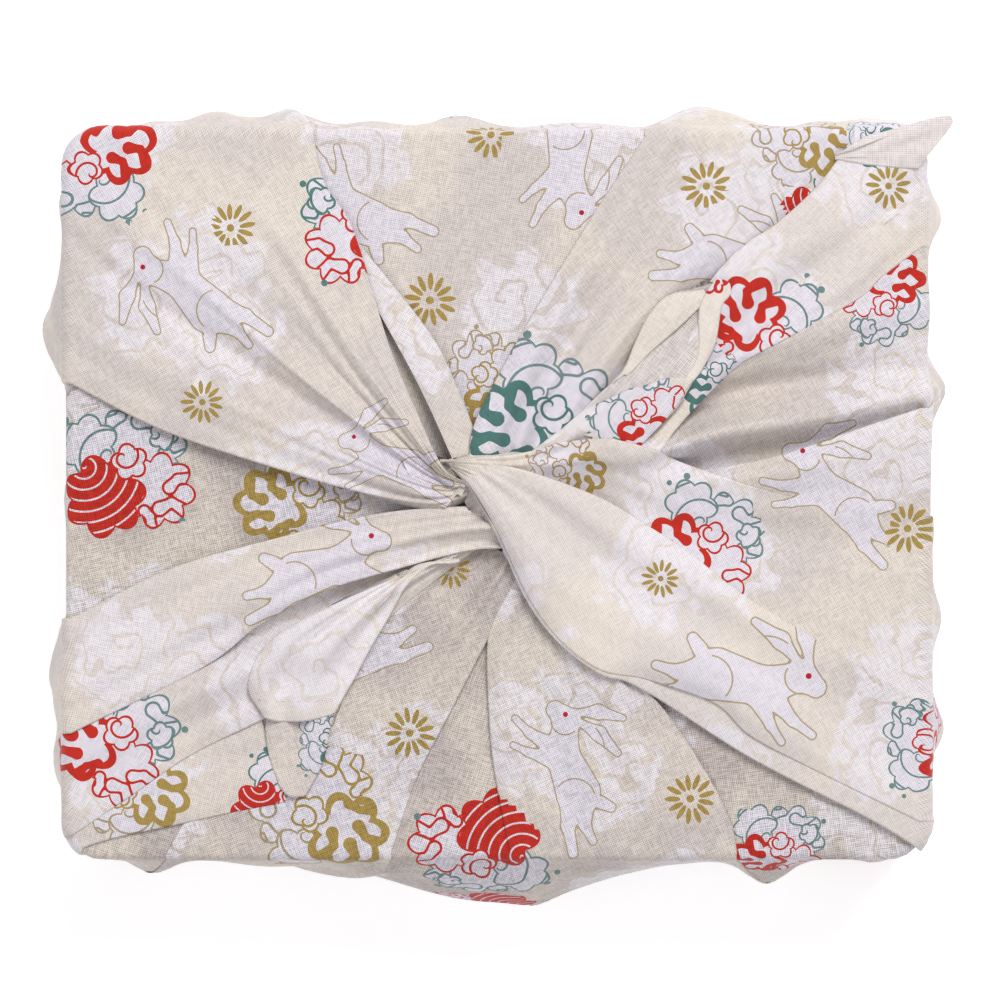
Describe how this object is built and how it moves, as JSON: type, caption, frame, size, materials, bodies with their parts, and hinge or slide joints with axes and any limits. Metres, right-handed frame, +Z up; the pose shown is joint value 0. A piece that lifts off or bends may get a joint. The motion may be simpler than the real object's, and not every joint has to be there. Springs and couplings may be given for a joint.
{
  "type": "furoshiki wrap",
  "caption": "Oblong bundle wrapped in a thin cream cotton furoshiki: pleated leaves of cloth meet in a flat twist on top, with two short free ends.",
  "frame": {"origin": "centre of the bounding box, on the surface that the bundle rests on", "axes": "+X along the longer side, to the right in the picture; +Y towards the picture's upper edge; +Z up out of the rest surface"},
  "size_m": [0.2286, 0.2006, 0.073],
  "materials": {
    "cotton": "matte woven printed cotton"
  },
  "bodies": {
    "root": {"wrapped_cloth": "cotton"}
  },
  "joints": []
}
